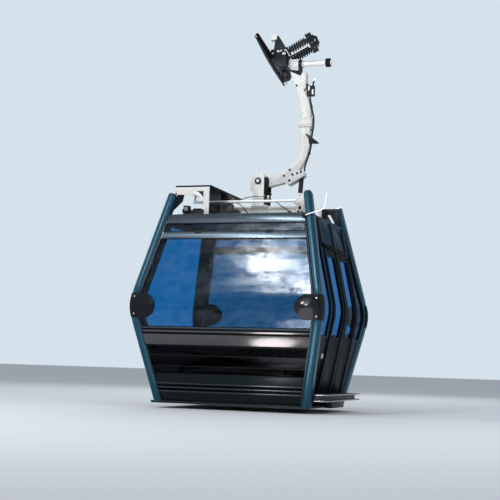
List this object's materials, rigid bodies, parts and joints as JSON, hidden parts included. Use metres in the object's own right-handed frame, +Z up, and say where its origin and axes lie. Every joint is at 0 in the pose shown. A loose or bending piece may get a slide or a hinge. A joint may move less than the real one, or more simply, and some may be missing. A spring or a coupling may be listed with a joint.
{
  "type": "cable car cabin with hanger and rope grip",
  "caption": "Closed ropeway cabin with glazed ends and double doors, hung by a bowed arm from a spring-loaded rope grip.",
  "frame": {"origin": "centre of the rope in the grip's jaws", "axes": "+Y along the line of travel, +X to the door side, +Z up; the rope's seat descends towards +Y"},
  "size_m": [2.3573, 2.364, 4.6727],
  "materials": {
    "teal_metal": "satin",
    "navy_metal": "satin",
    "rail_metal": "satin",
    "polished_metal": "polished",
    "tinted_pane": "tinted",
    "black_rubber": "matt",
    "dark_plastic": "matt",
    "floor_metal": "matt",
    "dark_metal": "satin",
    "roof_metal": "satin",
    "galvanised": "galvanised",
    "bare_steel": "machined",
    "spring_metal": "satin",
    "panel_black": "gloss",
    "seat_plastic": "matt",
    "pale_plastic": "matt"
  },
  "bodies": {
    "grip": {"fixed_jaw": "dark_metal", "moving_jaw": "dark_metal", "grip_housing": "dark_metal", "grip_shaft": "bare_steel", "guide_horn": "dark_metal", "horn_pad": "pale_plastic", "jaw_springs": "spring_metal", "spring_guides": "dark_metal", "spring_crosshead": "dark_metal"},
    "outer_roller": {"outer_roller": "black_rubber"},
    "hanger": {"hanger_arm": "galvanised", "arm_collar": "galvanised", "arm_fin": "dark_metal", "sensor_box": "dark_plastic", "arm_cable": "black_rubber", "hanger_foot": "dark_metal", "hanger_head": "galvanised", "head_pad": "black_rubber", "hanger_link": "dark_metal", "damper_bracket": "galvanised"},
    "damper_cylinder": {"damper_cylinder": "dark_metal"},
    "damper_rod": {"damper_rod": "bare_steel"},
    "cabin": {"corner_pillars": "teal_metal", "end_frames": "rail_metal", "end_panels": "teal_metal", "rub_rails": "polished_metal", "end_windows": "tinted_pane", "small_end_windows": "tinted_pane", "bumpers": "black_rubber", "left_wall": "navy_metal", "side_windows": "tinted_pane", "door_frame": "navy_metal", "door_front": "navy_metal", "door_rear": "navy_metal", "door_glass": "tinted_pane", "base_plate": "dark_plastic", "floor": "floor_metal", "door_step": "dark_metal", "roof": "roof_metal", "crossbeam": "galvanised", "beam_mounts": "black_rubber", "pivot_upright": "galvanised", "pivot_pin": "bare_steel", "sway_buffer": "black_rubber", "damper_foot": "galvanised", "roof_panel": "panel_black", "panel_bracket": "galvanised", "roof_drive": "dark_plastic", "far_bracket": "dark_metal", "edge_bracket": "galvanised", "roof_tube": "galvanised", "benches": "seat_plastic", "backrests": "seat_plastic", "cable_glands": "dark_plastic", "roof_cable": "black_rubber", "beam_cable": "black_rubber"}
  },
  "joints": [
    {"name": "hanger_swing", "type": "hinge", "parent": "grip", "child": "hanger", "pos_m": [0, -0.02003, -0.07745], "axis": [1, 0, 0], "range_deg": [-59.5, 30.5]},
    {"name": "cabin_sway", "type": "hinge", "parent": "hanger", "child": "cabin", "pos_m": [-0.1, -0.02003, -1.56945], "axis": [0, 1, 0], "range_deg": [-5, 5]},
    {"name": "roller_spin", "type": "hinge", "parent": "grip", "child": "outer_roller", "pos_m": [0, -0.02003, -0.07745], "axis": [1, 0, 0], "continuous": true},
    {"name": "damper_tilt", "type": "hinge", "parent": "hanger", "child": "damper_cylinder", "pos_m": [0.45, -0.02003, -1.50145], "axis": [0, 1, 0], "range_deg": [-3.5, 3.5]},
    {"name": "damper_stroke", "type": "slide", "parent": "damper_cylinder", "child": "damper_rod", "axis": [-0.0715, 0, -0.9974], "range_m": [-0.052, 0.052]}
  ],
  "couplings": [
    {"joint": "damper_tilt", "follows": "cabin_sway", "ratio": 0.6671},
    {"joint": "damper_stroke", "follows": "cabin_sway", "m_per_rad": 0.54373}
  ]
}
